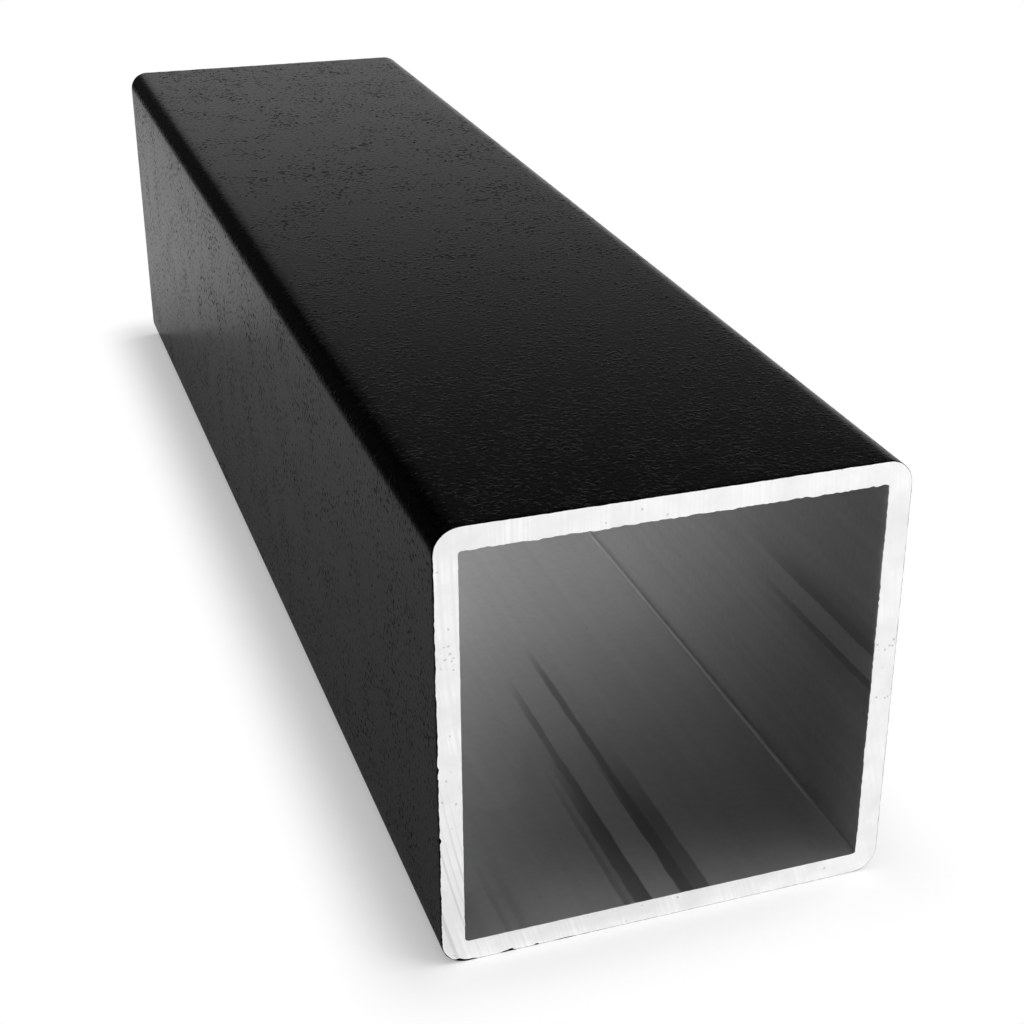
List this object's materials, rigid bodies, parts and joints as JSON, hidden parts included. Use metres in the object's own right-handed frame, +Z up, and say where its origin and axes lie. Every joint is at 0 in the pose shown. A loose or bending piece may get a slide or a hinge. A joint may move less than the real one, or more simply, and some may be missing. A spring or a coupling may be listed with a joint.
{
  "type": "square metal tube",
  "caption": "Length of square aluminium hollow section, black fine-texture powder coat outside, bare mill-finish bore, sawn square at both ends.",
  "frame": {"origin": "centre of the underside: midway between the two sawn ends and the two sides, on the flat that the tube lies on", "axes": "+Y along the tube, from the sawn end that faces the viewer to the other one; +Z up, square to the underside; +X across, to the right when looking along +Y"},
  "size_m": [0.05, 0.195, 0.05],
  "materials": {
    "black_powder_coat": "matte"
  },
  "bodies": {
    "root": {"square_tube": "black_powder_coat"}
  },
  "joints": []
}
